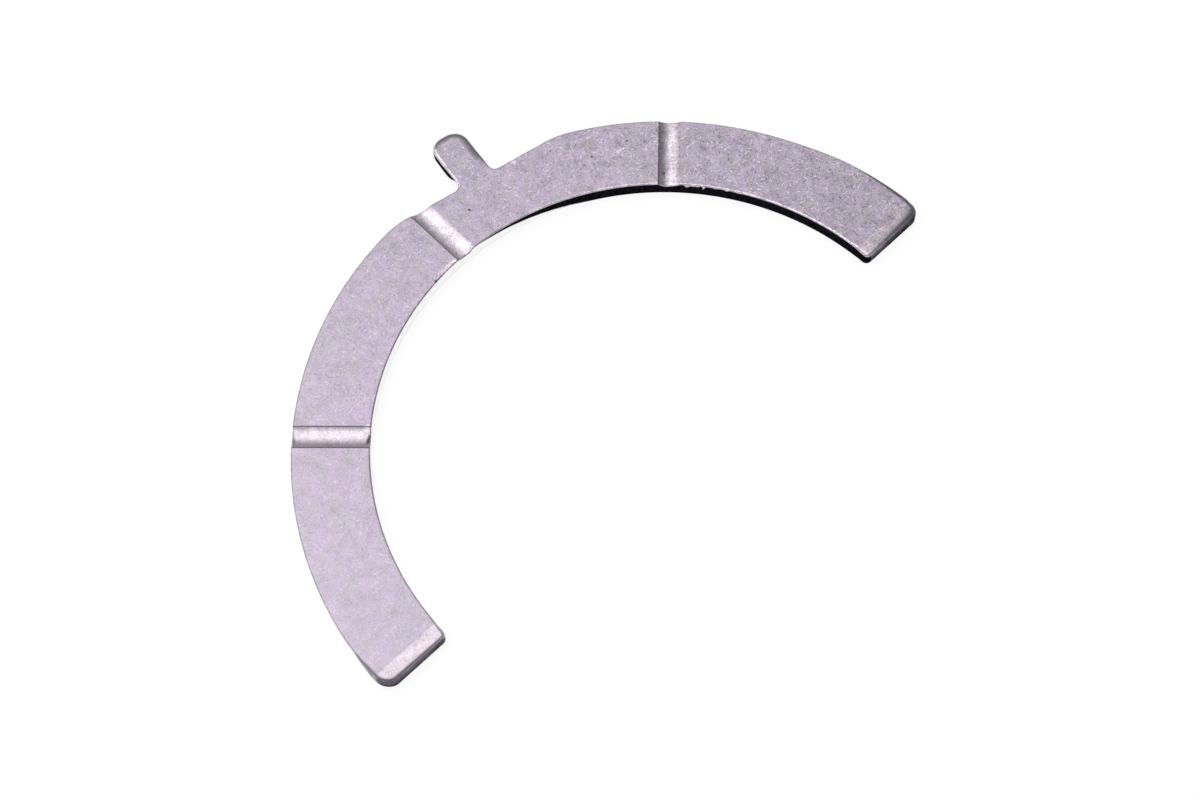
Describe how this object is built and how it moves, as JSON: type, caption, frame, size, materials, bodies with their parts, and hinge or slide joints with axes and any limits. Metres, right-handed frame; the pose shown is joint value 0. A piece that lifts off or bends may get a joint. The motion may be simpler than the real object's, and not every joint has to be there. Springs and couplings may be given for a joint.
{
  "type": "thrust washer",
  "caption": "Half-ring thrust washer with a locating tab on its rim, oil grooves across its bearing face and relieved ends.",
  "frame": {"origin": "middle of the footprint on the flat back face; the arc's centre lies 28.154 mm from it towards -Y", "axes": "+X along the parting line, the longest extent, with the locating tab on the +X side of the crown; +Y towards the crown of the arc; +Z out of the grooved bearing face, along the thickness, the shortest extent"},
  "size_m": [0.0999, 0.0562, 0.0023],
  "materials": {
    "bearing_metal": "matt, tumbled grey with a lilac cast and fine speckle"
  },
  "bodies": {
    "root": {"thrust_washer": "bearing_metal"}
  },
  "joints": []
}
